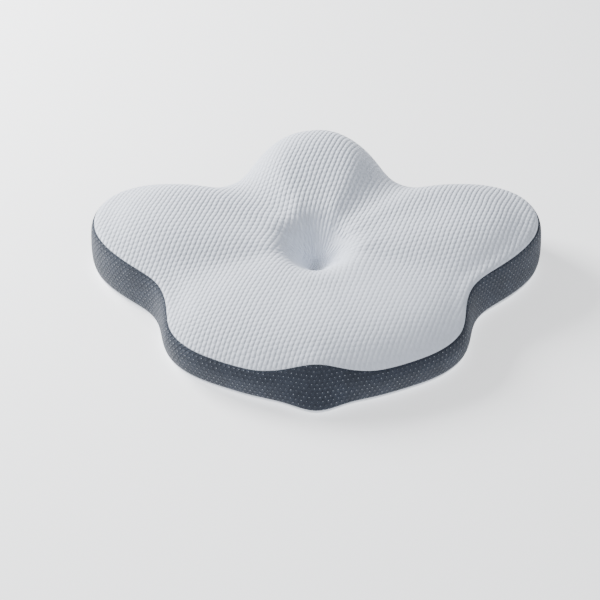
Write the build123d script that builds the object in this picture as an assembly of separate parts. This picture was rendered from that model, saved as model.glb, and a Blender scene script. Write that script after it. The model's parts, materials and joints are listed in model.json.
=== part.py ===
from build123d import *
from math import atan2, cos, hypot, sin
import os

os.makedirs("parts", exist_ok=True)

# A butterfly cervical pillow, lying on its flat underside.
# X runs across the shoulders, Y from the crown of the head (-Y) to the neck (+Y), Z is up.
# The origin is on the floor under the head hollow, midway between the two wings.

# --- Overall sizes, outside of the cover -------------------------------------------------
pillow_width = 640.0
pillow_depth = 480.0
# Height that the crown curve aims at; the eased crown peaks about 7 mm lower.
neck_lobe_height = 145.0

# --- Levels and shape of the cross-section -----------------------------------------------
hollow_floor_height = 40.0
hollow_floor_radius = 9.0
hollow_radius = 66.0
hollow_lip_height = 90.0
# How far the underside's edge curls up: reach, then two steps round the curl as (share, height).
underside_roll = 17.0
low_roll = (0.62, 0.6)
high_roll = (0.32, 3.6)
bottom_seam_height = 11.0
bottom_seam_inset = 2.0
belly_height = 29.0
top_seam_inset = 8.0
belly_foot_share = 0.6
wall_foot_share = 0.2
wall_share = 0.6
wall_bulge = 2.0
# Shape of the crown: where its crest ends, how fast the hollow opens, where the edge turns down.
crest_share = 0.85
hollow_ease = 0.8
edge_start = 0.42
edge_ease = 3.6

# --- Layers, from the outside in ---------------------------------------------------------
cover_thickness = 2.0
layer_gap = 0.5
foot_draw = 0.35
seam_gap = 0.8
thread_depth = 0.35
thread_width = 0.5
thread_thickness = 0.6

# --- Hook-and-loop pads that hold the cover down in the head hollow ----------------------
pad_radius = 7.0
pad_thickness = 1.2
pad_pocket_gap = 0.8

# --- Zipper across the underside ---------------------------------------------------------
zip_y = 0.0
zip_length = 420.0
zip_slot_width = 11.0
zip_slot_end_gap = 4.0
hem_width = 9.0
hem_height = 3.4
tape_width = 13.0
tape_thickness = 0.6
coil_width = 2.6
coil_height = 1.6
coil_gap = 1.0
coil_rounding = 0.45 * coil_height
slider_length = 11.0
slider_width = 8.6
slider_plate = 0.9
slider_clearance = 0.25
slider_post_width = 0.6
slider_post_length = 3.0
slider_post_setback = 1.0
slider_corner = 0.3 * slider_width
flange_half_length = 0.2 * slider_length
stop_length = 3.0
ear_thickness = 0.8
ear_length = 2.6
pin_diameter = 0.9
pin_running_fit = 0.05
pull_barrel_radius = 0.95
pull_side_clearance = 0.2
pull_length = 26.0
pull_width = 6.4
pull_neck_width = 2.4
pull_thickness = 0.8
pull_eye_radius = 1.6
pull_neck_length = 6.6
pull_neck_overlap = 1.0
pull_corner = 0.35 * pull_width
groove_clearance = 1.0

# How far a cutting block runs past what it cuts.
overcut = 1.0

# Half of the plan, from the middle of the neck lobe to the middle of the crown notch:
# x, y, height of the top seam, height of the crown, extra reach of the foot.
half_plan = [
    (0, 244, 87, 145, 0),
    (50, 231, 86, 141, 0),
    (88, 196, 79, 128, 0),
    (118, 156, 71, 105, 0),
    (166, 137, 72, 102, 0),
    (232, 134, 80, 111, 0),
    (294, 108, 85, 113, 0),
    (320, 60, 86, 112, 0),
    (309, 14, 83, 106, 0),
    (268, -28, 78, 94, 2),
    (226, -62, 72, 84, 4),
    (210, -102, 64, 84, 4),
    (202, -140, 57, 86, 0),
    (170, -174, 54, 87, 0),
    (122, -198, 53, 87, 0),
    (78, -212, 54, 87, 2),
    (38, -214, 60, 88, 12),
    (0, -212, 66, 88, 27),
]
plan_half_width = 320.0
plan_depth = 480.0
plan_neck_height = 145.0

width_scale = pillow_width / (2 * plan_half_width)
depth_scale = pillow_depth / plan_depth
height_scale = neck_lobe_height / plan_neck_height
other_half = [(-x, y, seam, crown, foot) for x, y, seam, crown, foot in half_plan[-2:0:-1]]
stations = [
    (
        x * width_scale, y * depth_scale,
        seam * height_scale, crown * height_scale, foot * depth_scale,
    )
    for x, y, seam, crown, foot in half_plan + other_half
]


def smooth(value):
    """Ease from 0 to 1."""
    t = min(max(value, 0.0), 1.0)
    return t * t * (3 - 2 * t)


def crown_height(reach, station):
    """Height of the top panel at a distance from the middle of the head hollow."""
    x, y, seam, crown, foot = station
    rim = hypot(x, y) - top_seam_inset
    share = reach / rim
    crest = hollow_lip_height + (crown - hollow_lip_height) * smooth(share / crest_share)
    hollow = 1 - smooth(reach / hollow_radius) ** hollow_ease
    edge = max(0.0, (share - edge_start) / (1 - edge_start)) ** edge_ease
    return crest - (crest - hollow_floor_height) * hollow - (crest - seam) * edge


crown_steps = [0.93, 0.84, 0.73, 0.61, 0.5, 0.4, 0.31, 0.235, 0.17, 0.115, 0.075]


def profile(station):
    """Outer skin in the upright plane of one station, as (reach, height), from the foot to the hollow."""
    x, y, seam, crown, foot = station
    rim = hypot(x, y)
    wall = seam - belly_height
    points = [
        (rim + foot - underside_roll, 0.0),
        (rim + foot - low_roll[0] * underside_roll, low_roll[1]),
        (rim + foot - high_roll[0] * underside_roll, high_roll[1]),
        (rim + foot - bottom_seam_inset, bottom_seam_height),
        (rim + belly_foot_share * foot, belly_height),
        (rim + wall_foot_share * foot - wall_bulge, belly_height + wall_share * wall),
        (rim - top_seam_inset, seam),
    ]
    for step in crown_steps:
        reach = step * (rim - top_seam_inset)
        points.append((reach, crown_height(reach, station)))
    points.append((hollow_floor_radius, hollow_floor_height))
    return points


foot_ring = 0
bottom_seam_ring = 3
top_seam_ring = 6
floor_ring = top_seam_ring + len(crown_steps) + 1


def inward(points, index, depth):
    """Move one profile point inwards, square to the profile."""
    reach, height = points[index]
    before = points[max(index - 1, 0)]
    after = points[min(index + 1, len(points) - 1)]
    if index == foot_ring:
        return reach - foot_draw * depth, height + depth
    if index == floor_ring:
        return reach, height - depth
    run, rise = after[0] - before[0], after[1] - before[1]
    length = hypot(run, rise)
    return reach - rise / length * depth, height + run / length * depth


def ring(index, depth, shift=0.0):
    """Closed curve round the pillow at one step of the profile and one depth into it."""
    points = []
    for station in stations:
        outline = profile(station)
        reach, height = inward(outline, index, depth)
        if shift:
            ahead = outline[index + (1 if shift > 0 else -1)]
            here = outline[index]
            span = hypot(ahead[0] - here[0], ahead[1] - here[1])
            reach += (ahead[0] - here[0]) / span * abs(shift)
            height += (ahead[1] - here[1]) / span * abs(shift)
        bearing = atan2(station[1], station[0])
        points.append(Vector(reach * cos(bearing), reach * sin(bearing), height))
    count = len(points)
    steps = [i / count for i in range(count + 1)]
    return Wire([Edge.make_spline(points, periodic=True, parameters=steps)])


def skin(rings, ruled=False):
    """Faces through a list of rings."""
    return Shell.make_loft(rings, ruled=ruled).faces()


def closed(faces):
    """One solid from faces that meet edge to edge."""
    solid = Solid(Shell(faces))
    return solid if solid.volume > 0 else Solid(Shell([-face for face in faces]))


def mound(depth, first=foot_ring):
    """Whole body inside the skin at one depth."""
    rings = [ring(i, depth) for i in range(first, floor_ring + 1)]
    return closed(skin(rings) + [Face(rings[0]), Face(rings[-1])])


def box(x_from, x_to, y_from, y_to, z_from, z_to):
    """Block between named faces."""
    block = Solid.make_box(x_to - x_from, y_to - y_from, z_to - z_from)
    return block.moved(Location((x_from, y_from, z_from)))


def save(name, solid):
    """Write one node."""
    export_step(solid, f"parts/{name}.step")


# --- Levels of the zipper, from the floor up ---------------------------------------------
tape_level = cover_thickness + hem_height
coil_level = tape_level - coil_height
outer_plate_top = coil_level - slider_clearance
outer_plate_level = outer_plate_top - slider_plate
pin_level = outer_plate_level - pull_barrel_radius - slider_clearance
inner_plate_level = tape_level + tape_thickness + slider_clearance
inner_plate_top = inner_plate_level + slider_plate
groove_top = inner_plate_top + groove_clearance
groove_half_width = coil_gap / 2 + tape_width + groove_clearance
groove_half_length = zip_length / 2 + zip_slot_end_gap + groove_clearance
slot_half_length = zip_length / 2 + zip_slot_end_gap
slot_half_width = zip_slot_width / 2


def groove():
    """Room for the zipper, let into the underside of the foam."""
    return box(
        -groove_half_length, groove_half_length,
        zip_y - groove_half_width, zip_y + groove_half_width,
        -overcut, groove_top,
    )


def pocket():
    """Room for the pads under the floor of the head hollow."""
    depth = cover_thickness + 2 * pad_thickness
    post = Solid.make_cylinder(pad_radius + pad_pocket_gap, depth)
    return post.moved(Location((0, 0, hollow_floor_height - depth)))


# --- Foam block --------------------------------------------------------------------------
foam_core = mound(cover_thickness + layer_gap) - groove() - pocket()
save("foam_core", foam_core)

# --- Pads in the head hollow -------------------------------------------------------------
loop_level = hollow_floor_height - cover_thickness - pad_thickness
for name, level in (("anchor_loop_pad", loop_level), ("anchor_hook_pad", loop_level - pad_thickness)):
    pad = Solid.make_cylinder(pad_radius, pad_thickness).moved(Location((0, 0, level)))
    save(name, pad)

# --- Cover: one shell of cloth, parted along its two seams --------------------------------
half_seam = seam_gap / 2
half_thread = thread_width / 2


def seam_run(index, half_width, depth_from, depth_to):
    """Narrow closed loop along one seam, between two depths."""
    corners = [
        ring(index, depth_from, -half_width),
        ring(index, depth_from, half_width),
        ring(index, depth_to, half_width),
        ring(index, depth_to, -half_width),
    ]
    faces = []
    for here, ahead in zip(corners, corners[1:] + corners[:1]):
        faces += skin([here, ahead], ruled=True)
    return closed(faces)


cover = mound(0) - mound(cover_thickness)
for index in (top_seam_ring, bottom_seam_ring):
    cover = cover - seam_run(index, half_seam, -half_seam, cover_thickness + half_seam)
underside, side_band, top_panel = cover.solids().sort_by(Axis.Z)
save("top_panel", top_panel)
join_slot = box(-half_seam, half_seam, 0, pillow_depth, -overcut, neck_lobe_height)
save("side_band", side_band - join_slot)

thread_floor = thread_depth + thread_thickness
save("top_seam_thread", seam_run(top_seam_ring, half_thread, thread_depth, thread_floor))
save("bottom_seam_thread", seam_run(bottom_seam_ring, half_thread, thread_depth, thread_floor))
join_line = box(-half_thread, half_thread, 0, pillow_depth, -overcut, neck_lobe_height)
thread_layer = mound(thread_depth) - mound(thread_floor)
for index in (top_seam_ring, bottom_seam_ring):
    thread_layer = thread_layer - seam_run(index, seam_gap, 0, thread_floor + thread_depth)
save("band_join_thread", thread_layer.solids().sort_by(Axis.Z)[1] & join_line)

# --- Underside in two halves, hemmed along the zipper ------------------------------------
slot = box(
    -slot_half_length, slot_half_length,
    zip_y - slot_half_width, zip_y + slot_half_width,
    -overcut, cover_thickness + overcut,
)
for name, side in (("bottom_panel_front", -1), ("bottom_panel_back", 1)):
    near, far = sorted((zip_y + side * half_thread, zip_y + side * pillow_depth))
    keep = box(-pillow_width, pillow_width, near, far, -overcut, neck_lobe_height)
    near, far = sorted((zip_y + side * slot_half_width, zip_y + side * (slot_half_width + hem_width)))
    hem = box(-slot_half_length, slot_half_length, near, far, cover_thickness, tape_level)
    save(name, (underside & keep) - slot + hem)

# --- Zipper: tapes, coils, stops ---------------------------------------------------------
half_zip = zip_length / 2
coil_half_length = half_zip - stop_length
for name, side in (("front", -1), ("back", 1)):
    edge = zip_y + side * coil_gap / 2
    near, far = sorted((edge, edge + side * tape_width))
    tape = box(-half_zip, half_zip, near, far, tape_level, tape_level + tape_thickness)
    near, far = sorted((edge, edge + side * coil_width))
    coil = box(-coil_half_length, coil_half_length, near, far, coil_level, tape_level)
    coil = coil.fillet(coil_rounding, coil.edges().filter_by(Axis.X).group_by(Axis.Z)[0])
    top_stop = box(coil_half_length, half_zip, near, far, coil_level, tape_level)
    save(f"zip_tape_{name}", tape)
    save(f"zip_coil_{name}", coil)
    save(f"zip_top_stop_{name}", top_stop)
stop_reach = coil_gap / 2 + coil_width
bottom_stop = box(
    -half_zip, -coil_half_length,
    zip_y - stop_reach, zip_y + stop_reach,
    coil_level, tape_level,
)
save("zip_bottom_stop", bottom_stop)

# --- Zipper slider, closed at the +X end -------------------------------------------------
slider_x = coil_half_length - slider_length / 2 - slider_clearance
slider_from, slider_to = slider_x - slider_length / 2, slider_x + slider_length / 2
half_slider = slider_width / 2
flange_inner = coil_gap / 2 + coil_width + slider_clearance
half_post = slider_post_width / 2
outer_plate = box(
    slider_from, slider_to, zip_y - half_slider, zip_y + half_slider, outer_plate_level, outer_plate_top
)
outer_plate = outer_plate.fillet(slider_corner, outer_plate.edges().filter_by(Axis.Z))
inner_plate = box(
    slider_from, slider_to, zip_y - half_slider, zip_y + half_slider, inner_plate_level, inner_plate_top
)
inner_plate = inner_plate.fillet(slider_corner, inner_plate.edges().filter_by(Axis.Z))
post = box(
    slider_to - slider_post_setback - slider_post_length, slider_to - slider_post_setback,
    zip_y - half_post, zip_y + half_post,
    outer_plate_level, inner_plate_top,
)
slider = outer_plate + inner_plate + post
ear_inner = pull_neck_width / 2 + pull_side_clearance
for side in (-1, 1):
    low, high = sorted((zip_y + side * flange_inner, zip_y + side * half_slider))
    slider += box(
        slider_x - flange_half_length, slider_x + flange_half_length,
        low, high, outer_plate_level, tape_level - slider_clearance,
    )
    low, high = sorted((zip_y + side * ear_inner, zip_y + side * (ear_inner + ear_thickness)))
    slider += box(
        slider_x - ear_length / 2, slider_x + ear_length / 2,
        low, high, pin_level - pin_diameter / 2, outer_plate_level,
    )
pin_length = 2 * (ear_inner + ear_thickness)
pin_start = Plane(origin=(slider_x, zip_y - pin_length / 2, pin_level), z_dir=(0, 1, 0))
slider += Solid.make_cylinder(pin_diameter / 2, pin_length, pin_start)
save("zip_slider", slider)

# --- Pull tab, flat against the underside ------------------------------------------------
barrel_start = Plane(origin=(slider_x, zip_y - pull_neck_width / 2, pin_level), z_dir=(0, 1, 0))
barrel = Solid.make_cylinder(pull_barrel_radius, pull_neck_width, barrel_start)
bore = Solid.make_cylinder(pin_diameter / 2 + pin_running_fit, pull_neck_width, barrel_start)
tab_low, tab_high = pin_level - pull_thickness / 2, pin_level + pull_thickness / 2
neck = box(
    slider_x - pull_neck_length - pull_neck_overlap, slider_x,
    zip_y - pull_neck_width / 2, zip_y + pull_neck_width / 2, tab_low, tab_high,
)
tab = box(
    slider_x - pull_length, slider_x - pull_neck_length,
    zip_y - pull_width / 2, zip_y + pull_width / 2, tab_low, tab_high,
)
tab = tab.fillet(pull_corner, tab.edges().filter_by(Axis.Z))
eye = Solid.make_cylinder(pull_eye_radius, pull_thickness + 2 * overcut).moved(
    Location((slider_x - pull_length + pull_width / 2, zip_y, tab_low - overcut))
)
save("zip_pull", barrel + neck + tab - eye - bore)
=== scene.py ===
import json
import math

import bmesh
import bpy
import numpy as np
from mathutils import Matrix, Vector
from mathutils.bvhtree import BVHTree


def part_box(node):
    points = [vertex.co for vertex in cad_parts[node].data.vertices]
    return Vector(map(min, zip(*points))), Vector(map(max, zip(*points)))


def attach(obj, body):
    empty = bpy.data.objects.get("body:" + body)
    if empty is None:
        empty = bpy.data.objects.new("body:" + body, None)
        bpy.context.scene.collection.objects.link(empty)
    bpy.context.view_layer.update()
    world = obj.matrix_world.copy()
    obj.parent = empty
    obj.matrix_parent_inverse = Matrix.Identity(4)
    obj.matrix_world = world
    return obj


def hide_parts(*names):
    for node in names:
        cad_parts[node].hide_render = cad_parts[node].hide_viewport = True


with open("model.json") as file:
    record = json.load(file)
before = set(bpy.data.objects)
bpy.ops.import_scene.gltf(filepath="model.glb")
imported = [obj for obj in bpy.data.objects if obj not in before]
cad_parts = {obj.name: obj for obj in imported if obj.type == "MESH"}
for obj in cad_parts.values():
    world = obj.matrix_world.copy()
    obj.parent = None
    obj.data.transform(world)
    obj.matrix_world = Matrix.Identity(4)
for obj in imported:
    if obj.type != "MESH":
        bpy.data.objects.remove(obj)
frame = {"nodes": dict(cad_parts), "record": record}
nodes = frame["nodes"]
slot_colours = {m["slot"]: (*m["base_color"], 1.0) for m in frame["record"]["materials"]}
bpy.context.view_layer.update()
MM = 0.001

# ---------------------------------------------------------------- foam block
# One moulded block of memory foam fills the cover. Its skin is soft and dull, with the fine open
# cells and scattered pinholes of poured foam, and its edges are rounded where it was in the mould.


def link(tree, source, target):
    """Join two sockets."""
    tree.links.new(source, target)


def set_or_link(tree, socket, value):
    """Give a socket a number, a triple or another socket's value."""
    if isinstance(value, bpy.types.NodeSocket):
        link(tree, value, socket)
    else:
        socket.default_value = value


def math_node(tree, operation, *values):
    """Math node on numbers or sockets."""
    node = tree.nodes.new("ShaderNodeMath")
    node.operation = operation
    for socket, value in zip(node.inputs, values):
        set_or_link(tree, socket, value)
    return node.outputs[0]


def vector_node(tree, operation, *values):
    """Vector math node on triples or sockets."""
    node = tree.nodes.new("ShaderNodeVectorMath")
    node.operation = operation
    for socket, value in zip(node.inputs, values):
        set_or_link(tree, socket, value)
    return node.outputs["Value" if operation == "LENGTH" else "Vector"]


def scaled(tree, vector, factor):
    """A vector made longer or shorter."""
    node = tree.nodes.new("ShaderNodeVectorMath")
    node.operation = "SCALE"
    link(tree, vector, node.inputs[0])
    set_or_link(tree, node.inputs["Scale"], factor)
    return node.outputs["Vector"]


def ramp(tree, source, low, high, to_low=0.0, to_high=1.0):
    """Smooth step of a value."""
    node = tree.nodes.new("ShaderNodeMapRange")
    node.interpolation_type = "SMOOTHSTEP"
    for label, value in (("From Min", low), ("From Max", high), ("To Min", to_low), ("To Max", to_high)):
        node.inputs[label].default_value = value
    link(tree, source, node.inputs["Value"])
    return node.outputs["Result"]


def noise(tree, vector, scale, detail=2.0, roughness=0.5):
    """Noise value at a place."""
    node = tree.nodes.new("ShaderNodeTexNoise")
    node.inputs["Scale"].default_value = scale
    node.inputs["Detail"].default_value = detail
    node.inputs["Roughness"].default_value = roughness
    link(tree, vector, node.inputs["Vector"])
    return node.outputs["Fac"]


def colour_between(tree, factor, dark, light):
    """Colour that moves from one to the other."""
    node = tree.nodes.new("ShaderNodeMix")
    node.data_type = "RGBA"
    link(tree, factor, node.inputs["Factor"])
    set_or_link(tree, node.inputs[6], dark)
    set_or_link(tree, node.inputs[7], light)
    return node.outputs[2]


def bump(tree, height, distance, strength=1.0, under=None):
    """Bump from a height that runs from 0 to 1 over a distance in metres."""
    node = tree.nodes.new("ShaderNodeBump")
    node.inputs["Distance"].default_value = distance
    node.inputs["Strength"].default_value = strength
    link(tree, height, node.inputs["Height"])
    if under is not None:
        link(tree, under, node.inputs["Normal"])
    return node.outputs["Normal"]


def shade(colour, factor):
    """A lighter or darker copy of a colour."""
    return (*(min(1.0, c * factor) for c in colour[:3]), 1.0)


def tinted(colour, tint):
    """A colour leaned towards a tint."""
    return (*(c * t for c, t in zip(colour, tint)), 1.0)


def new_material(name, slot, roughness, sheen=0.0, metallic=0.0):
    """Material with its Principled shader, coloured from the record's slot."""
    material = bpy.data.materials.new(name)
    material.use_nodes = True
    shader = material.node_tree.nodes["Principled BSDF"]
    shader.inputs["Base Color"].default_value = slot_colours[slot]
    shader.inputs["Roughness"].default_value = roughness
    shader.inputs["Metallic"].default_value = metallic
    shader.inputs["Sheen Weight"].default_value = sheen
    shader.inputs["Sheen Roughness"].default_value = 0.45
    return material, material.node_tree, shader


def local_mm(tree):
    """Each point's place in its own object, in mm."""
    node = tree.nodes.new("ShaderNodeTexCoord")
    return scaled(tree, node.outputs["Object"], 1 / MM)


def memory_foam():
    """Dull open-celled foam with scattered pinholes painted darker inside as shade, a little cloudy in
    colour.
    """
    material, tree, shader = new_material("memory_foam", "memory_foam", 0.92, sheen=0.1)
    place = local_mm(tree)
    cells = tree.nodes.new("ShaderNodeTexVoronoi")
    cells.inputs["Scale"].default_value = 0.9
    link(tree, place, cells.inputs["Vector"])
    pinholes = tree.nodes.new("ShaderNodeTexVoronoi")
    pinholes.inputs["Scale"].default_value = 0.16
    link(tree, place, pinholes.inputs["Vector"])
    hole = ramp(tree, pinholes.outputs["Distance"], 0.16, 0.06)
    base = slot_colours["memory_foam"]
    cloudy = colour_between(tree, noise(tree, place, 0.02, 3.0), shade(base, 0.9), shade(base, 1.04))
    # The pinholes are painted darker as the shade inside them.
    link(tree, colour_between(tree, hole, cloudy, shade(base, 0.62)), shader.inputs["Base Color"])
    fine = bump(tree, cells.outputs["Distance"], 0.3 * MM, 0.5)
    sunk = math_node(tree, "SUBTRACT", 1.0, hole)
    link(tree, bump(tree, sunk, 0.8 * MM, 0.6, fine), shader.inputs["Normal"])
    return material


def add_piece(name, mesh, body, replaced=()):
    """Put a mesh in the scene as a piece of the object."""
    piece = bpy.data.objects.new(name, mesh)
    bpy.context.collection.objects.link(piece)
    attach(piece, body)
    if replaced:
        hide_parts(*replaced)
    return piece


def applied(piece):
    """Turn a piece's modifiers into its mesh."""
    depsgraph = bpy.context.evaluated_depsgraph_get()
    mesh = bpy.data.meshes.new_from_object(piece.evaluated_get(depsgraph))
    piece.modifiers.clear()
    piece.data = mesh
    return piece


FOAM_FACE = 4.5 * MM
foam_mesh = nodes["foam_core"].data.copy()
foam_mesh.materials.clear()
foam_mesh.materials.append(memory_foam())
foam_block = add_piece("foam_block", foam_mesh, "pillow", ["foam_core"])
remesh = foam_block.modifiers.new("even_faces", "REMESH")
remesh.mode = "VOXEL"
remesh.voxel_size = FOAM_FACE
remesh.use_smooth_shade = True
ease = foam_block.modifiers.new("moulded_edges", "SMOOTH")
ease.factor = 0.5
ease.iterations = 3
applied(foam_block)

# ---------------------------------------------------------------- hook and loop pads
# Two small round pads, one sewn under the cover and one glued to the foam, hold the cover down at
# the bottom of the head hollow. One carries stiff little hooks and the other soft loops.


def grid_faces(rows, columns, closed=True):
    """Four-sided faces between rows of points. A closed row also joins its last point to its first."""
    faces = []
    for row in range(rows - 1):
        near, far = row * columns, (row + 1) * columns
        for here in range(columns if closed else columns - 1):
            beyond = (here + 1) % columns
            faces.append((near + here, near + beyond, far + beyond, far + here))
    return faces


def end_faces(rows, columns):
    """Caps over the first and the last ring of points."""
    last = (rows - 1) * columns
    return [tuple(range(columns))[::-1], tuple(range(last, last + columns))]


def tube(path, radii, sides):
    """Vertices and faces of a round tube along open points, with end caps."""
    path = np.asarray(path, float)
    count = len(path)
    radii = np.broadcast_to(radii, count)
    ahead = np.gradient(path, axis=0)
    ahead /= np.linalg.norm(ahead, axis=1, keepdims=True) + 1e-12
    side = np.cross(ahead, [0.0, 0.0, 1.0])
    weak = np.linalg.norm(side, axis=1) < 1e-4
    side[weak] = [1.0, 0.0, 0.0]
    side /= np.linalg.norm(side, axis=1, keepdims=True)
    up = np.cross(side, ahead)
    turn = np.linspace(0, 2 * math.pi, sides, endpoint=False)
    spread = side[:, None] * np.cos(turn)[None, :, None] + up[:, None] * np.sin(turn)[None, :, None]
    points = (path[:, None] + spread * radii[:, None, None]).reshape(-1, 3)
    return points, grid_faces(count, sides) + end_faces(count, sides)


def joined_mesh(name, parts, material, closed=True):
    """One mesh from several sets of vertices and faces. Closed parts get their faces turned outwards."""
    points, faces, start = [], [], 0
    for part_points, part_faces in parts:
        points.append(part_points)
        faces += [tuple(start + i for i in face) for face in part_faces]
        start += len(part_points)
    mesh = bpy.data.meshes.new(name)
    mesh.from_pydata(np.concatenate(points).tolist(), [], faces)
    mesh.polygons.foreach_set("use_smooth", [True] * len(faces))
    mesh.materials.append(material)
    if closed:
        bm = bmesh.new()
        bm.from_mesh(mesh)
        bmesh.ops.recalc_face_normals(bm, faces=bm.faces)
        bm.to_mesh(mesh)
        bm.free()
    return mesh


def backing_disc(low, high, level, thickness):
    """Round backing with a rounded rim."""
    centre, radius = (low + high) / 2, (high[0] - low[0]) / 2
    sides = 48
    rim = [(0.9, 0.0), (1.0, 0.25), (1.0, 0.75), (0.9, 1.0)]
    turn = np.linspace(0, 2 * math.pi, sides, endpoint=False)
    points = [
        (centre[0] + radius * r * math.cos(a), centre[1] + radius * r * math.sin(a), level + thickness * h)
        for r, h in rim
        for a in turn
    ]
    return np.array(points), grid_faces(len(rim), sides) + end_faces(len(rim), sides)


def hook_loop_nylon():
    """Dull nylon, slightly uneven in colour."""
    material, tree, shader = new_material("hook_loop_nylon", "hook_loop", 0.6, sheen=0.15)
    place = local_mm(tree)
    base = slot_colours["hook_loop"]
    uneven = colour_between(tree, noise(tree, place, 1.4, 3.0), shade(base, 0.8), base)
    link(tree, uneven, shader.inputs["Base Color"])
    link(tree, bump(tree, noise(tree, place, 4.0, 3.0), 0.15 * MM, 0.5), shader.inputs["Normal"])
    return material


def pad_mesh(node, pegs_up, reach, bend, wire, spacing):
    """Pad with rows of small bent pegs: hooks, or closed loops if bend goes all the way over."""
    low, high = (np.array(corner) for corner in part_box(node))
    backing = (high[2] - low[2]) * 0.5
    tallest = (high[2] - low[2]) * 0.96
    level = low[2] if pegs_up else high[2] - backing
    parts = [backing_disc(low, high, level, backing)]
    bare_rim = 0.8 * MM
    centre, radius = (low + high) / 2, (high[0] - low[0]) / 2 - bare_rim
    steps = int(2 * radius / spacing)
    for row in range(steps + 1):
        for place in range(steps + 1):
            x = -radius + place * spacing + 0.5 * spacing * (row % 2)
            y = -radius + row * spacing
            if math.hypot(x, y) > radius:
                continue
            way = scatter.uniform(0, 2 * math.pi)
            turn = np.linspace(0, bend, 6)
            out = reach * 0.5 * (1 - np.cos(turn))
            rise = backing + reach * np.sin(turn) * 0.5 + reach * 0.45 * np.minimum(turn, 1.0)
            rise = np.minimum(rise, tallest)
            height = low[2] + rise if pegs_up else high[2] - rise
            east, north = out * math.cos(way), out * math.sin(way)
            path = np.stack([centre[0] + x + east, centre[1] + y + north, height], 1)
            parts.append(tube(path, wire, 4))
    return joined_mesh(node, parts, nylon)


scatter = np.random.default_rng(7)
nylon = hook_loop_nylon()
hook_pad = pad_mesh("anchor_hook_pad", True, 0.55 * MM, 2.5, 0.09 * MM, 1.3 * MM)
loop_pad = pad_mesh("anchor_loop_pad", False, 0.6 * MM, 3.1, 0.06 * MM, 1.1 * MM)
for name, mesh in (("hook_pad", hook_pad), ("loop_pad", loop_pad)):
    add_piece(name, mesh, "pillow", [f"anchor_{name}"])

# ---------------------------------------------------------------- underside in two halves
# Two pieces of plain white knit wrap up round the foam's lower edge and meet along the zipper.
# Each has a folded hem beside the opening, held by two rows of stitches.
TURNS = 460
HALF_TURNS = 420
BASE_RINGS = 60
BASE_CLOTH = 1.2 * MM
SLOT_MARGIN = 4 * MM
SLOT_HALF_WIDTH = 5.5 * MM
HALF_JOIN = 0.3 * MM
COLUMN_STEP = 0.3 * MM
HEM_RISE = 1.6 * MM
HEM_DEPTH = 1 * MM


def angles(count):
    """Evenly spread bearings round the head hollow, from the neck lobe."""
    return np.linspace(0, 2 * math.pi, count, endpoint=False) + math.pi / 2


def smooth_ring(values, passes):
    """Ease out small steps round a closed line."""
    for _ in range(passes):
        values = 0.5 * values + 0.25 * (np.roll(values, 1) + np.roll(values, -1))
    return values


def seam_line(node):
    """Reach and height of a sewn seam at each bearing, read from its thread one degree at a time."""
    points = np.array([v.co[:] for v in nodes[node].data.vertices])
    around = np.mod(np.arctan2(points[:, 1], points[:, 0]), 2 * math.pi)
    degrees = 360
    bins = np.floor(around / (2 * math.pi) * degrees).astype(int)
    middle, reach, height = [], [], []
    for degree in range(degrees):
        inside = bins == degree
        if inside.any():
            middle.append(around[inside].mean())
            reach.append(np.hypot(points[inside, 0], points[inside, 1]).mean())
            height.append(points[inside, 2].mean())
    wanted = np.mod(angles(TURNS), 2 * math.pi)
    found = [np.interp(wanted, middle, values, period=2 * math.pi) for values in (reach, height)]
    return smooth_ring(found[0], 6), smooth_ring(found[1], 6)


def surface_of(node):
    """Search tree over a CAD node's faces."""
    mesh = nodes[node].data
    return BVHTree.FromPolygons([v.co for v in mesh.vertices], [p.vertices[:] for p in mesh.polygons])


def filled_in(row):
    """A row of numbers with its gaps bridged from their neighbours."""
    gaps = np.isnan(row)
    if gaps.any() and not gaps.all():
        row[gaps] = np.interp(np.flatnonzero(gaps), np.flatnonzero(~gaps), row[~gaps])
    return row


def cloth_mesh(name, grid, cloth, material, closed_turn, extra=None):
    """Mesh through a grid of points. cloth holds each point's place in the flat cloth, in mm, and
    extra one more number for each point."""
    rows, columns = grid.shape[:2]
    faces = grid_faces(rows, columns, closed_turn)
    mesh = joined_mesh(name, [(grid.reshape(-1, 3), faces)], material, closed=False)
    place = mesh.attributes.new("cloth_mm", "FLOAT_VECTOR", "POINT")
    flat = np.zeros((rows * columns, 3))
    flat[:, :2] = cloth.reshape(-1, 2)
    if extra is not None:
        flat[:, 2] = extra.reshape(-1)
    place.data.foreach_set("vector", flat.ravel())
    return mesh


def cloth_piece(name, node, mesh, thickness, outward):
    """Padded sheet of cloth, thickened inwards from its outer face. outward gives the way out at a place."""
    if sum(outward(face.center).dot(face.normal) * face.area for face in mesh.polygons) < 0:
        mesh.flip_normals()
    piece = add_piece(name, mesh, "pillow", [node])
    solid = piece.modifiers.new("cloth", "SOLIDIFY")
    solid.thickness = thickness
    solid.offset = -1
    return piece


def new_group(name, inputs, outputs):
    """Node group with named sockets."""
    tree = bpy.data.node_groups.new(name, "ShaderNodeTree")
    for label, kind, default in inputs:
        socket = tree.interface.new_socket(label, in_out="INPUT", socket_type=kind)
        if default is not None:
            socket.default_value = default
    for label in outputs:
        tree.interface.new_socket(label, in_out="OUTPUT", socket_type="NodeSocketFloat")
    return tree, tree.nodes.new("NodeGroupInput").outputs, tree.nodes.new("NodeGroupOutput").inputs


def use_group(tree, group, **values):
    """Group node in a material, with its inputs set or linked."""
    node = tree.nodes.new("ShaderNodeGroup")
    node.node_tree = group
    for label, value in values.items():
        set_or_link(tree, node.inputs[label.replace("_", " ")], value)
    return node.outputs


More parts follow.
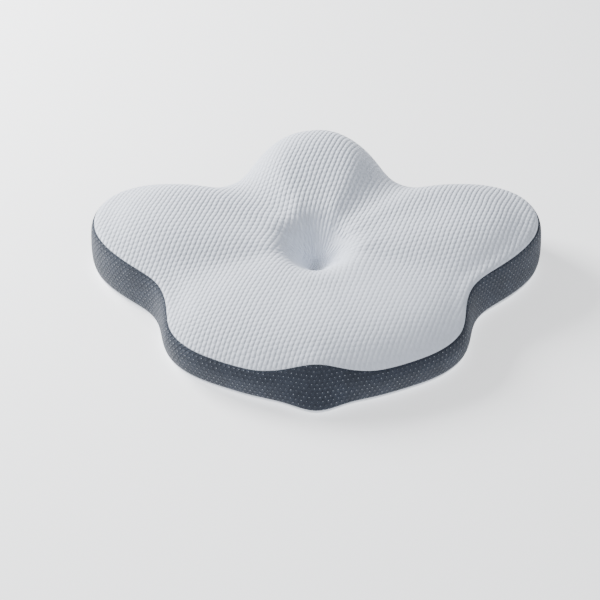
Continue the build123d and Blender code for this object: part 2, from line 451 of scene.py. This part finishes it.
def cloth_place(tree):
    """Each point's place in the flat cloth, in mm, and the third number kept with it."""
    node = tree.nodes.new("ShaderNodeAttribute")
    node.attribute_name = "cloth_mm"
    split = tree.nodes.new("ShaderNodeSeparateXYZ")
    link(tree, node.outputs["Vector"], split.inputs["Vector"])
    flat = tree.nodes.new("ShaderNodeCombineXYZ")
    link(tree, split.outputs["X"], flat.inputs["X"])
    link(tree, split.outputs["Y"], flat.inputs["Y"])
    return flat.outputs["Vector"], split.outputs["Z"]


def build_yarn_group():
    """Fine knit loops and stray fibres: their height, cloudy colour and single fibres."""
    vector, number = "NodeSocketVector", "NodeSocketFloat"
    tree, given, made = new_group(
        "knit_yarn", [("Cloth", vector, None), ("Wale mm", number, 1.1)], ["Height", "Mottle", "Fibre"]
    )
    place = given["Cloth"]
    by_wale = scaled(tree, place, math_node(tree, "DIVIDE", 2 * math.pi, given["Wale mm"]))
    split = tree.nodes.new("ShaderNodeSeparateXYZ")
    link(tree, by_wale, split.inputs["Vector"])
    across = math_node(tree, "SINE", split.outputs["X"])
    lean = math_node(tree, "ADD", split.outputs["Y"], math_node(tree, "ABSOLUTE", across))
    half_lean = math_node(tree, "MULTIPLY", math_node(tree, "SINE", lean), 0.5)
    loops = math_node(tree, "MULTIPLY_ADD", across, half_lean, 0.5)
    fuzz = noise(tree, place, 1.9, 3.0, 0.6)
    low_loops = math_node(tree, "MULTIPLY", loops, 0.4)
    link(tree, math_node(tree, "MULTIPLY_ADD", fuzz, 0.6, low_loops), made["Height"])
    link(tree, noise(tree, place, 0.03, 3.0, 0.6), made["Mottle"])
    stretched = vector_node(tree, "MULTIPLY", place, (2.6, 0.6, 1.0))
    link(tree, noise(tree, stretched, 1.0, 3.0, 0.65), made["Fibre"])
    return tree


yarn_group = build_yarn_group()


def white_base_cloth():
    """Plain white weft knit, with fine loops and a slight unevenness."""
    material, tree, shader = new_material("white_base_cloth", "white_base_cloth", 0.85, sheen=0.2)
    place, _ = cloth_place(tree)
    yarn = use_group(tree, yarn_group, Cloth=place, Wale_mm=1.6)
    white = tinted(slot_colours["white_base_cloth"], (0.94, 0.965, 1.0))
    cloudy = colour_between(tree, ramp(tree, yarn["Mottle"], 0.3, 0.7), shade(white, 0.95), white)
    link(tree, cloudy, shader.inputs["Base Color"])
    link(tree, bump(tree, yarn["Height"], 0.3 * MM, 0.8), shader.inputs["Normal"])
    return material


base_knit = white_base_cloth()
bearing = angles(TURNS)
base_reach, base_height = seam_line("bottom_seam_thread")
tape_low, tape_high = np.array(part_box("zip_tape_front")[0]), np.array(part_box("zip_tape_back")[1])
slot_half_length = (tape_high[0] - tape_low[0]) / 2 + SLOT_MARGIN


def base_grid(node, side):
    """Points of one half of the underside, from its edge along the zipper out to the lower seam.

    Columns run straight away from the zipper and never cross. Two of them stand at each end of the
    opening, and inside it the rows are folded up to make the hem."""
    surface = surface_of(node)
    turn = np.linspace(0.0, math.pi, HALF_TURNS) * side
    known = np.mod(bearing, 2 * math.pi)
    order = np.argsort(known)
    wanted = np.mod(turn, 2 * math.pi)
    seam_allowance = 0.4 * MM
    reach = np.interp(wanted, known[order], base_reach[order], period=2 * math.pi) - seam_allowance
    height = np.interp(wanted, known[order], base_height[order], period=2 * math.pi)
    outer = np.stack([reach * np.cos(turn), reach * np.sin(turn)], 1)
    outer[0, 1] = outer[-1, 1] = side * 2 * HALF_JOIN
    right = outer[: HALF_TURNS // 2, 0].copy()
    right[0] -= 1 * MM
    for i in range(1, len(right)):
        right[i] = min(right[i], right[i - 1] - COLUMN_STEP)
    inner_x = np.concatenate([right, -right[::-1]])
    corner = 0.1 * MM
    for end in (-1, 1):
        closed = int(np.argmin(np.abs(inner_x - end * slot_half_length)))
        inner_x[closed] = end * (slot_half_length + corner)
        inner_x[closed + end] = end * (slot_half_length - corner)
    edge = np.where(np.abs(inner_x) < slot_half_length, SLOT_HALF_WIDTH, HALF_JOIN)
    below = 0.05
    rows = []
    for share in 1 - (1 - np.linspace(0, 1, BASE_RINGS)) ** 2.4:
        x = inner_x + share * (outer[:, 0] - inner_x)
        y = HALF_JOIN + share * (np.abs(outer[:, 1]) - HALF_JOIN)
        folded = np.clip((edge - y) / (SLOT_HALF_WIDTH - HALF_JOIN), 0, 1) * HEM_RISE
        y = np.maximum(y, edge) * side
        row = np.full(HALF_TURNS, np.nan)
        for i in range(HALF_TURNS):
            reach_up = below + height[i] + 0.5 * MM
            hit = surface.ray_cast(Vector((x[i], y[i], -below)), Vector((0, 0, 1)), reach_up)
            if hit[0] is not None:
                row[i] = hit[0].z
        row = height - 0.6 * MM if share > 0.999 else filled_in(row)
        rows.append(np.stack([x, y, np.maximum(np.nan_to_num(row), 0.0) + folded], 1))
    grid = np.array(rows)
    grid[3:-1, :, 2] = 0.5 * grid[3:-1, :, 2] + 0.25 * (grid[2:-2, :, 2] + grid[4:, :, 2])
    fold = grid[0].copy()
    fold[:, 2] += HEM_DEPTH
    return np.concatenate([fold[None], grid], 0)


for name, side in (("front", -1), ("back", 1)):
    node = f"bottom_panel_{name}"
    grid = base_grid(node, side)
    mesh = cloth_mesh(f"underside_{name}", grid, grid[:, :, :2] / MM, base_knit, False)
    down = Vector((0, 0, -1))
    cloth_piece(f"underside_{name}", node, mesh, BASE_CLOTH, lambda place: down)


def thread_cotton(name, slot):
    """Twisted sewing thread: two plies that show as slanting ridges, painted darker in the grooves between
    them as shade.
    """
    material, tree, shader = new_material(name, slot, 0.55, sheen=0.1)
    place = local_mm(tree)
    twist = tree.nodes.new("ShaderNodeTexWave")
    twist.bands_direction = "DIAGONAL"
    twist.inputs["Scale"].default_value = 0.9
    twist.inputs["Distortion"].default_value = 0.6
    link(tree, place, twist.inputs["Vector"])
    base = slot_colours[slot]
    # The grooves between the plies are painted darker as shade.
    plies_with_groove_shade = colour_between(tree, twist.outputs["Fac"], shade(base, 0.7), base)
    link(tree, plies_with_groove_shade, shader.inputs["Base Color"])
    link(tree, bump(tree, twist.outputs["Fac"], 0.12 * MM, 0.6), shader.inputs["Normal"])
    return material


def stitches(path, stitch, width, dip, down):
    """One row of lockstitches along a path: each stitch swells, then dips into the cloth."""
    path = np.asarray(path, float)
    steps = np.linalg.norm(np.diff(path, axis=0), axis=1)
    run = np.concatenate([[0], np.cumsum(steps)])
    points_per_stitch = 7
    count = max(2, int(run[-1] / (stitch / points_per_stitch)))
    along = np.linspace(0, run[-1], count)
    points = np.stack([np.interp(along, run, path[:, i]) for i in range(3)], 1)
    bow = np.abs(np.sin(math.pi * along / stitch)) ** 0.6
    points += (1 - bow)[:, None] * dip * np.asarray(down)
    return tube(points, width * (0.3 + 0.2 * bow), 5)


def seam_path(reach, height, overlap=3):
    """Closed run of points along a seam, with a short overlap where the ends meet."""
    count = len(reach) * 2
    spread = [np.fft.irfft(np.fft.rfft(values), count) * 2 for values in (reach, height)]
    turn = angles(count)
    path = np.stack([spread[0] * np.cos(turn), spread[0] * np.sin(turn), spread[1]], 1)
    return np.concatenate([path, path[:overlap]])


SEAM_STITCH, SEAM_WIDTH, SEAM_DIP = 3.2 * MM, 0.7 * MM, 0.3 * MM
UP = (0, 0, 1)
white_thread = thread_cotton("white_thread", "white_thread")
grey_thread = thread_cotton("grey_thread", "grey_thread")
lower_seam = stitches(seam_path(base_reach, base_height), SEAM_STITCH, SEAM_WIDTH, SEAM_DIP, UP)
lower_seam_mesh = joined_mesh("lower_seam_stitches", [lower_seam], white_thread)
add_piece("lower_seam_stitches", lower_seam_mesh, "pillow", ["bottom_seam_thread"])
STITCH_LEVEL = 0.13 * MM
HEM_STITCH, HEM_WIDTH, HEM_DIP = 3.0 * MM, 0.6 * MM, 0.3 * MM
EDGE_INSET, TAPE_INSET = 1.6 * MM, 7.0 * MM
TAIL_END = 285 * MM
TAIL_OFFSET = 1.8 * MM


def hem_row(start, end, stitch=HEM_STITCH, width=HEM_WIDTH, dip=HEM_DIP):
    """Straight row of stitches on the underside."""
    return stitches([(*start, STITCH_LEVEL), (*end, STITCH_LEVEL)], stitch, width, dip, UP)


hem_rows = []
row_end = slot_half_length - 2 * MM
for side in (-1, 1):
    for inset in (EDGE_INSET, TAPE_INSET):
        y = side * (SLOT_HALF_WIDTH + inset)
        hem_rows.append(hem_row((-row_end, y), (row_end, y)))
for end in (-1, 1):
    x = end * (slot_half_length + EDGE_INSET)
    reach = SLOT_HALF_WIDTH + EDGE_INSET
    hem_rows.append(hem_row((x, -reach), (x, reach), stitch=1.1 * MM, width=0.9 * MM, dip=0.2 * MM))
    for y in (-TAIL_OFFSET, TAIL_OFFSET):
        hem_rows.append(hem_row((x, y), (end * TAIL_END, y)))
hem_mesh = joined_mesh("hem_stitches", hem_rows, white_thread)
add_piece("hem_stitches", hem_mesh, "pillow", ())

# ---------------------------------------------------------------- zipper
# A light nylon coil zipper closes the underside. Two woven tapes are sewn inside the hems, and
# each carries a continuous coil whose turns lock into the other's.
TAPE_WEIGHT = 0.45 * MM
TAPE_COLUMNS, TAPE_ROWS = 211, 9
COIL_PITCH = 1.5 * MM
COIL_WIRE = 0.25 * MM
COIL_SIDES, STEPS_PER_TURN = 5, 14


def zip_cloth():
    """Woven tape, with a diagonal weave and cords along its length, painted darker in the low parts of the
    weave as shade.
    """
    material, tree, shader = new_material("zip_cloth", "zip_cloth", 0.75, sheen=0.15)
    place = local_mm(tree)
    base = slot_colours["zip_cloth"]
    weave = tree.nodes.new("ShaderNodeTexWave")
    weave.bands_direction = "DIAGONAL"
    weave.inputs["Scale"].default_value = 0.55
    link(tree, place, weave.inputs["Vector"])
    cord = tree.nodes.new("ShaderNodeTexWave")
    cord.bands_direction = "Y"
    cord.inputs["Scale"].default_value = 0.45
    link(tree, place, cord.inputs["Vector"])
    both = math_node(tree, "MULTIPLY", weave.outputs["Fac"], cord.outputs["Fac"])
    # The low parts of the weave are painted darker as shade.
    link(tree, colour_between(tree, both, shade(base, 0.78), base), shader.inputs["Base Color"])
    link(tree, bump(tree, both, 0.2 * MM, 0.7), shader.inputs["Normal"])
    return material


def zip_nylon():
    """Smooth moulded nylon with a slight gloss that varies."""
    material, tree, shader = new_material("zip_nylon", "zip_nylon", 0.32)
    shader.inputs["Coat Weight"].default_value = 0.15
    place = local_mm(tree)
    base = slot_colours["zip_nylon"]
    uneven = colour_between(tree, noise(tree, place, 0.5, 2.0), shade(base, 0.88), base)
    link(tree, uneven, shader.inputs["Base Color"])
    link(tree, ramp(tree, noise(tree, place, 2.0, 2.0), 0.2, 0.8, 0.24, 0.42), shader.inputs["Roughness"])
    return material


tape_material, coil_material = zip_cloth(), zip_nylon()


def tape_grid(node, side):
    """Points of a tape, from its edge beside the coils outwards, with a slight wave in the outer edge."""
    low, high = (np.array(corner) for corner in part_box(node))
    wave, wave_run, lift = 0.05 * MM, 7 * MM, 0.08 * MM
    xs = np.linspace(low[0], high[0], TAPE_COLUMNS)
    inner_edge, outer_edge = (low[1], high[1]) if side > 0 else (high[1], low[1])
    ys = np.linspace(inner_edge, outer_edge, TAPE_ROWS)
    grid = np.zeros((TAPE_ROWS, TAPE_COLUMNS, 3))
    grid[:, :, 0], grid[:, :, 1] = xs[None], ys[:, None]
    outwards = np.linspace(0, 1, TAPE_ROWS)[:, None]
    grid[:, :, 2] = low[2] + lift + wave * np.sin(xs / wave_run)[None] * outwards
    return grid


def coil_path(node, side):
    """Helix of one coil. The two coils are half a turn apart and lean in, so that they interlock."""
    low, high = (np.array(corner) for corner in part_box(node))
    middle, half_width, half_height = (low + high) / 2, (high[1] - low[1]) / 2, (high[2] - low[2]) / 2
    lean, overlap = 0.5 * MM, 0.1 * MM
    turns = int((high[0] - low[0]) / COIL_PITCH)
    phase = np.linspace(0, 2 * math.pi * turns, turns * STEPS_PER_TURN)
    half_turn = 0 if side < 0 else 0.5 * COIL_PITCH
    path = np.stack(
        [
            low[0] + COIL_WIRE + phase / (2 * math.pi) * COIL_PITCH + half_turn,
            middle[1] - side * lean + (half_width - COIL_WIRE + overlap) * np.sin(phase),
            middle[2] + (half_height - COIL_WIRE) * np.cos(phase),
        ],
        1,
    )
    return path[path[:, 0] < high[0] - COIL_WIRE]


for name, side in (("front", -1), ("back", 1)):
    grid = tape_grid(f"zip_tape_{name}", side)
    mesh = cloth_mesh(f"tape_{name}", grid, grid[:, :, :2] / MM, tape_material, False)
    tape = add_piece(f"tape_{name}", mesh, "pillow", [f"zip_tape_{name}"])
    weight = tape.modifiers.new("cloth", "SOLIDIFY")
    weight.thickness = TAPE_WEIGHT
    weight.offset = -1 if mesh.polygons[0].normal.z < 0 else 1
    turns = tube(coil_path(f"zip_coil_{name}", side), COIL_WIRE, COIL_SIDES)
    mesh = joined_mesh(f"coil_{name}", [turns], coil_material)
    add_piece(f"coil_{name}", mesh, "pillow", [f"zip_coil_{name}"])


def zip_metal():
    """Lacquered die-cast metal, lighter in colour along its edges."""
    material, tree, shader = new_material("zip_metal", "zip_metal", 0.35, metallic=0.55)
    shader.inputs["Coat Weight"].default_value = 0.3
    place = local_mm(tree)
    base = slot_colours["zip_metal"]
    edge = tree.nodes.new("ShaderNodeBevel")
    edge.inputs["Radius"].default_value = 0.3 * MM
    shape = tree.nodes.new("ShaderNodeNewGeometry")
    turn = tree.nodes.new("ShaderNodeVectorMath")
    turn.operation = "DOT_PRODUCT"
    link(tree, edge.outputs["Normal"], turn.inputs[0])
    link(tree, shape.outputs["Normal"], turn.inputs[1])
    # The edges, found from the bevelled normal, are made lighter in colour.
    lighter_edge = ramp(tree, turn.outputs["Value"], 0.995, 0.8)
    speckled = colour_between(tree, noise(tree, place, 1.3, 4.0), shade(base, 0.85), base)
    link(tree, colour_between(tree, lighter_edge, speckled, shade(base, 1.35)), shader.inputs["Base Color"])
    link(tree, ramp(tree, noise(tree, place, 2.5, 3.0), 0.25, 0.75, 0.24, 0.46), shader.inputs["Roughness"])
    link(tree, edge.outputs["Normal"], shader.inputs["Normal"])
    return material


metal = zip_metal()
for node in ("zip_top_stop_front", "zip_top_stop_back", "zip_bottom_stop", "zip_slider", "zip_pull"):
    nodes[node].data.materials.clear()
    nodes[node].data.materials.append(metal)

# ---------------------------------------------------------------- side band
# One long strip of slate-grey heathered knit, with staggered rows of low seeds and a small pale
# dot of yarn on each. It is sewn edge to edge to the white panels and closed by one upright join
# behind the neck lobe.
BAND_RINGS = 30
DOT_PITCH = 6.9
CLOTH = 1.6 * MM


def build_seed_group():
    """Raised seeds of an air-layer knit, in staggered rows: their height, a mask of the pits between them
    where shade is painted, the distance to each one's middle in mm, and a number from 0 to 1 that differs
    from seed to seed."""
    vector, number = "NodeSocketVector", "NodeSocketFloat"
    tree, given, made = new_group(
        "seed_rows",
        [
            ("Cloth", vector, None),
            ("Row turn", number, 0.0),
            ("Row mm", number, 6.4),
            ("Seed mm", number, 7.6),
            ("Wander mm", number, 1.5),
        ],
        ["Height", "Pit shade", "Dot distance", "Seed number"],
    )
    drift = tree.nodes.new("ShaderNodeTexNoise")
    drift.inputs["Scale"].default_value = 0.03
    drift.inputs["Detail"].default_value = 1.0
    link(tree, given["Cloth"], drift.inputs["Vector"])
    centred = vector_node(tree, "SUBTRACT", drift.outputs["Color"], (0.5, 0.5, 0.5))
    moved = vector_node(tree, "ADD", given["Cloth"], scaled(tree, centred, given["Wander mm"]))
    turned = tree.nodes.new("ShaderNodeVectorRotate")
    turned.rotation_type = "Z_AXIS"
    link(tree, moved, turned.inputs["Vector"])
    link(tree, given["Row turn"], turned.inputs["Angle"])
    split = tree.nodes.new("ShaderNodeSeparateXYZ")
    link(tree, turned.outputs["Vector"], split.inputs["Vector"])
    across = math_node(tree, "DIVIDE", split.outputs["X"], given["Row mm"])
    row = math_node(tree, "FLOOR", across)
    u = math_node(tree, "SUBTRACT", math_node(tree, "SUBTRACT", across, row), 0.5)
    stagger = math_node(tree, "MULTIPLY", row, 0.5)
    along = math_node(tree, "ADD", math_node(tree, "DIVIDE", split.outputs["Y"], given["Seed mm"]), stagger)
    place = math_node(tree, "FLOOR", along)
    v = math_node(tree, "SUBTRACT", math_node(tree, "SUBTRACT", along, place), 0.5)
    u_share = math_node(tree, "MULTIPLY", math_node(tree, "MULTIPLY", u, u), 4.0)
    v_share = math_node(tree, "MULTIPLY", math_node(tree, "MULTIPLY", v, v), 4.0)
    rib = math_node(tree, "SUBTRACT", 1.0, u_share)
    seed = math_node(tree, "SUBTRACT", 1.0, v_share)
    swell = math_node(tree, "MULTIPLY_ADD", seed, 0.8, 0.2)
    link(tree, math_node(tree, "MULTIPLY", rib, swell), made["Height"])
    pit_shade = math_node(tree, "MULTIPLY", v_share, v_share)
    narrowed = math_node(tree, "MULTIPLY_ADD", u_share, -0.6, 1.0)
    link(tree, math_node(tree, "MULTIPLY", pit_shade, narrowed), made["Pit shade"])
    du = math_node(tree, "MULTIPLY", u, given["Row mm"])
    dv = math_node(tree, "MULTIPLY", v, given["Seed mm"])
    flat = math_node(tree, "ADD", math_node(tree, "MULTIPLY", du, du), math_node(tree, "MULTIPLY", dv, dv))
    link(tree, math_node(tree, "SQRT", flat), made["Dot distance"])
    each = math_node(tree, "MULTIPLY_ADD", row, 7.13, math_node(tree, "MULTIPLY", place, 3.71))
    scrambled = math_node(tree, "MULTIPLY", math_node(tree, "SINE", each), 43.7)
    link(tree, math_node(tree, "FRACT", scrambled), made["Seed number"])
    return tree


seed_group = build_seed_group()


def grey_band_knit():
    """Slate heather of dark and pale fibres, with painted shade in the pits between its seeds, and a pale
    dot on each seed.
    """
    material, tree, shader = new_material("grey_band_knit", "grey_band_knit", 0.9, sheen=0.12)
    place, _ = cloth_place(tree)
    seeds = use_group(
        tree, seed_group,
        Cloth=place, Row_turn=0.5, Row_mm=DOT_PITCH * 0.87, Seed_mm=DOT_PITCH, Wander_mm=1.6,
    )
    yarn = use_group(tree, yarn_group, Cloth=place, Wale_mm=1.0)
    slate = tinted(slot_colours["grey_band_knit"], (0.74, 0.83, 0.95))
    dot_yarn = (0.5, 0.53, 0.58, 1.0)
    fleck = ramp(tree, yarn["Fibre"], 0.38, 0.68)
    flecked = colour_between(tree, fleck, shade(slate, 0.3), shade(slate, 1.15))
    heather = colour_between(tree, ramp(tree, yarn["Mottle"], 0.25, 0.75), shade(slate, 0.42), flecked)
    # The pits between the seeds are painted darker as shade.
    pit_shade = ramp(tree, seeds["Pit shade"], 0.3, 1.0, 0.0, 0.45)
    pit_shaded = colour_between(tree, pit_shade, heather, shade(slate, 0.25))
    ragged = math_node(tree, "MULTIPLY_ADD", yarn["Fibre"], 0.5, seeds["Dot distance"])
    size = math_node(tree, "MULTIPLY_ADD", seeds["Seed number"], 0.4, 0.55)
    dot = ramp(tree, math_node(tree, "DIVIDE", ragged, size), 1.12, 0.8, 0.0, 0.65)
    link(tree, colour_between(tree, dot, pit_shaded, dot_yarn), shader.inputs["Base Color"])
    coarse = bump(tree, seeds["Height"], 1.1 * MM, 0.75)
    link(tree, bump(tree, yarn["Height"], 0.35 * MM, 0.9, coarse), shader.inputs["Normal"])
    return material


slate_knit = grey_band_knit()
seam_reach, seam_height = seam_line("top_seam_thread")


def band_grid():
    """Points of the band from the lower seam to the upper one, starting at its join."""
    surface = surface_of("side_band")
    seam_allowance = 0.6 * MM
    inside, outside = 15 * MM, 30 * MM
    rows = []
    for share in np.linspace(0, 1, BAND_RINGS):
        height = base_height + seam_allowance
        height = height + share * (seam_height - base_height - 2 * seam_allowance)
        row = np.full(TURNS, np.nan)
        for i, (z, a) in enumerate(zip(height, bearing)):
            out = Vector((math.cos(a), math.sin(a), 0))
            hit = surface.ray_cast(out + Vector((0, 0, z)), -out)
            if hit[0] is not None:
                reach = hit[0].dot(out)
                low, high = sorted((base_reach[i], seam_reach[i]))
                if low - inside < reach < high + outside:
                    row[i] = reach
        row = smooth_ring(filled_in(row), 3)
        rows.append(np.stack([row * np.cos(bearing), row * np.sin(bearing), height], 1))
    return np.array(rows)


def along_cloth(grid):
    """Place of each grid point in a strip of cloth: run along it and height up it, in mm."""
    middle = grid[len(grid) // 2]
    run = np.concatenate([[0], np.cumsum(np.linalg.norm(np.diff(middle, axis=0), axis=1))])
    rise = np.cumsum(np.linalg.norm(np.diff(grid, axis=0), axis=2), axis=0)
    rise = np.concatenate([np.zeros((1, grid.shape[1])), rise])
    return np.stack([np.broadcast_to(run, rise.shape), rise], 2) / MM


TUCK_IN, TUCK_RISE = 1.4 * MM, 0.5 * MM


def tucked_edge(row, rise):
    """The band's raw edge, turned in beyond a row of points into the seam."""
    edge = row.copy()
    size = np.linalg.norm(edge[:, :2], axis=1, keepdims=True)
    edge[:, :2] *= (size - TUCK_IN) / size
    edge[:, 2] += rise
    return edge[None]


grid = band_grid()
grid = np.concatenate([grid, grid[:, :1]], 1)
grid = np.concatenate([tucked_edge(grid[0], -TUCK_RISE), grid, tucked_edge(grid[-1], TUCK_RISE)], 0)
mesh = cloth_mesh("band_cover", grid, along_cloth(grid), slate_knit, False)
cloth_piece(
    "band_cover", "side_band", mesh, CLOTH, lambda place: Vector((place.x, place.y, 0))
)
JOIN_STITCH, JOIN_WIDTH, JOIN_DIP = 3.0 * MM, 0.7 * MM, 0.4 * MM
proud = 0.1 * MM
join = stitches(grid[2:-2, 0] + [0, proud, 0], JOIN_STITCH, JOIN_WIDTH, JOIN_DIP, (0, -1, 0))
join_mesh = joined_mesh("join_stitches", [join], grey_thread)
add_piece("join_stitches", join_mesh, "pillow", ["band_join_thread"])

# ---------------------------------------------------------------- top panel
# One piece of white air-layer knit: two thin faces with a springy layer between, knitted into
# rows of small raised seeds. It is drawn down into the head hollow, where the cloth gathers and
# its rows run together.
CROWN_RINGS = 104
ROW_BEARING = math.radians(69)
GATHERS = 46
GATHER_DEPTH = 0.8 * MM
GATHERS_START, GATHERS_FULL = 62 * MM, 28 * MM
GATHERS_STOP, GATHERS_FADE = 7 * MM, 16 * MM
DRAWN_IN_RADIUS = 130 * MM
DRAWN_IN = 26 * MM
SEAM_GAP = 0.35 * MM


def white_air_knit():
    """White knit of raised seeds, with painted shade in its pits, and smoother where the cloth is stretched.
    """
    material, tree, shader = new_material("white_air_knit", "white_air_knit", 0.85, sheen=0.2)
    place, strength = cloth_place(tree)
    seeds = use_group(
        tree, seed_group,
        Cloth=place, Row_turn=math.pi / 2 - ROW_BEARING, Row_mm=6.3, Seed_mm=7.4, Wander_mm=3.0,
    )
    yarn = use_group(tree, yarn_group, Cloth=place, Wale_mm=1.2)
    white = tinted(slot_colours["white_air_knit"], (0.89, 0.93, 1.0))
    cloudy = colour_between(tree, ramp(tree, yarn["Mottle"], 0.35, 0.65), shade(white, 0.97), white)
    # The pits are painted a blue-grey as shade, scaled by the strength map.
    pit_shade = math_node(tree, "MULTIPLY", ramp(tree, seeds["Pit shade"], 0.2, 1.0, 0.0, 0.75), strength)
    link(tree, colour_between(tree, pit_shade, cloudy, (0.6, 0.635, 0.7, 1.0)), shader.inputs["Base Color"])
    relief = math_node(tree, "MULTIPLY", seeds["Height"], strength)
    coarse = bump(tree, relief, 2.0 * MM, 0.9)
    link(tree, bump(tree, yarn["Height"], 0.22 * MM, 0.7, coarse), shader.inputs["Normal"])
    return material


def crown_grid():
    """Points of the top panel from the head hollow out to the seam."""
    surface = surface_of("top_panel")
    rows = []
    for share in 1 - (1 - np.linspace(0, 1, CROWN_RINGS)) ** 1.7:
        reach = 0.05 * MM + share * (seam_reach - SEAM_GAP)
        row = np.full(TURNS, np.nan)
        for i, (r, a) in enumerate(zip(reach, bearing)):
            hit = surface.ray_cast(Vector((r * math.cos(a), r * math.sin(a), 1.0)), Vector((0, 0, -1)))
            if hit[0] is not None:
                row[i] = hit[0].z
        row = np.where(np.isnan(row), seam_height + 0.3 * MM, row)
        rows.append(np.stack([reach * np.cos(bearing), reach * np.sin(bearing), row], 1))
    return np.array(rows)


grid = crown_grid()
for _ in range(3):
    inner = grid[2:-8, :, 2]
    around = np.roll(inner, 1, 1) + np.roll(inner, -1, 1)
    grid[2:-8, :, 2] = 0.5 * inner + 0.125 * (around + grid[1:-9, :, 2] + grid[3:-7, :, 2])
reach = np.hypot(grid[:, :, 0], grid[:, :, 1])
near_hollow = np.clip((GATHERS_START - reach) / (GATHERS_START - GATHERS_FULL), 0, 1)
near_hollow *= np.clip((reach - GATHERS_STOP) / (GATHERS_FADE - GATHERS_STOP), 0, 1)
uneven = 1 + 0.35 * np.sin(5 * bearing + 0.7) * np.sin(3 * bearing)
folds = np.cos(GATHERS * bearing + 1.1 * np.sin(4 * bearing))
grid[:, :, 2] += GATHER_DEPTH * (folds * uneven)[None] * near_hollow ** 1.3
drawn = np.clip((DRAWN_IN_RADIUS - reach) / DRAWN_IN_RADIUS, 0, 1)
pulled = reach + drawn ** 2 * DRAWN_IN * np.clip(reach / (18 * MM), 0, 1)
cloth = np.stack([pulled * np.cos(bearing)[None], pulled * np.sin(bearing)[None]], 2) / MM
# The relief is weaker where the cloth is stretched: over the front right, and in the hollow.
# The painted shade in the pits is scaled by the same numbers, so it is fainter there too.
to_back = np.clip((grid[:, :, 1] + 90 * MM) / (170 * MM), 0, 1)
to_left = np.clip((120 * MM - grid[:, :, 0]) / (260 * MM), 0, 1)
strength = 0.32 + 0.68 * np.maximum(to_back, 0.65 * to_left)
strength = strength * (1 - 0.45 * near_hollow)
# Three more rows turn the edge down over the seam: height over it, and reach beyond it.
for over, beyond in ((0.1 * MM, -0.2 * MM), (-0.9 * MM, -0.25 * MM), (-1.7 * MM, -0.85 * MM)):
    edge_reach = seam_reach + beyond
    height = seam_height + over
    edge = np.stack([edge_reach * np.cos(bearing), edge_reach * np.sin(bearing), height], 1)
    grid = np.concatenate([grid, edge[None]], 0)
    cloth = np.concatenate([cloth, edge[None, :, :2] / MM], 0)
    strength = np.concatenate([strength, strength[-1:]], 0)
mesh = cloth_mesh("top_cover", grid, cloth, white_air_knit(), True, strength)
cloth_piece("top_cover", "top_panel", mesh, CLOTH, lambda place: Vector((0, 0, 1)))
DOWN = (0, 0, -1)
upper_seam = stitches(seam_path(seam_reach, seam_height), SEAM_STITCH, SEAM_WIDTH, SEAM_DIP, DOWN)
upper_seam_mesh = joined_mesh("upper_seam_stitches", [upper_seam], grey_thread)
add_piece("upper_seam_stitches", upper_seam_mesh, "pillow", ["top_seam_thread"])

# ---------------------------------------------------------------- stage, lights and camera
# A pale floor, one broad soft light from behind on the left, a weaker one from the front and an
# even pale surround.


def pale_floor():
    """Large matt floor just below the underside, glowing a little so that it stays pale."""
    mesh = bpy.data.meshes.new("floor")
    level, half = -0.25 * MM, 6
    corners = [(-half, -half, level), (half, -half, level), (half, half, level), (-half, half, level)]
    mesh.from_pydata(corners, [], [(0, 1, 2, 3)])
    paint = bpy.data.materials.new("pale_floor")
    paint.use_nodes = True
    shader = paint.node_tree.nodes["Principled BSDF"]
    shader.inputs["Base Color"].default_value = (0.94, 0.945, 0.95, 1)
    shader.inputs["Roughness"].default_value = 0.9
    shader.inputs["Emission Color"].default_value = (1, 1, 1, 1)
    shader.inputs["Emission Strength"].default_value = 0.95
    mesh.materials.append(paint)
    floor = bpy.data.objects.new("floor", mesh)
    bpy.context.collection.objects.link(floor)


def soft_light(name, place, size, power, colour):
    """Square softbox that faces the pillow."""
    lamp = bpy.data.lights.new(name, "AREA")
    lamp.size = size
    lamp.energy = power
    lamp.color = colour
    holder = bpy.data.objects.new(name, lamp)
    bpy.context.collection.objects.link(holder)
    holder.location = place
    pillow_middle = Vector((0, 0, 0.05))
    holder.rotation_euler = (pillow_middle - Vector(place)).to_track_quat("-Z", "Y").to_euler()


pale_floor()
soft_light("key_behind_left", (-1.6, 1.0, 1.25), 1.0, 140, (0.985, 0.99, 1.0))
soft_light("fill_front_right", (1.3, -1.5, 1.7), 1.8, 9, (0.95, 0.97, 1.0))
world = bpy.data.worlds.new("pale_surround")
world.use_nodes = True
surround = world.node_tree.nodes["Background"]
surround.inputs["Color"].default_value = (0.9, 0.94, 1.0, 1)
surround.inputs["Strength"].default_value = 0.5
bpy.context.scene.world = world

CAMERA_RISE = math.radians(45)
CAMERA_RANGE = 2.2
CAMERA_AIM = Vector((0, -0.044, 0.06))
lens = bpy.data.cameras.new("camera")
lens.sensor_width = 36
lens.lens = 96
lens.shift_x, lens.shift_y = -0.027, -0.032
camera = bpy.data.objects.new("camera", lens)
bpy.context.collection.objects.link(camera)
back = Vector((0, -math.cos(CAMERA_RISE), math.sin(CAMERA_RISE)))
camera.location = CAMERA_AIM + back * CAMERA_RANGE
camera.rotation_euler = (-back).to_track_quat("-Z", "Y").to_euler()
bpy.context.scene.camera = camera
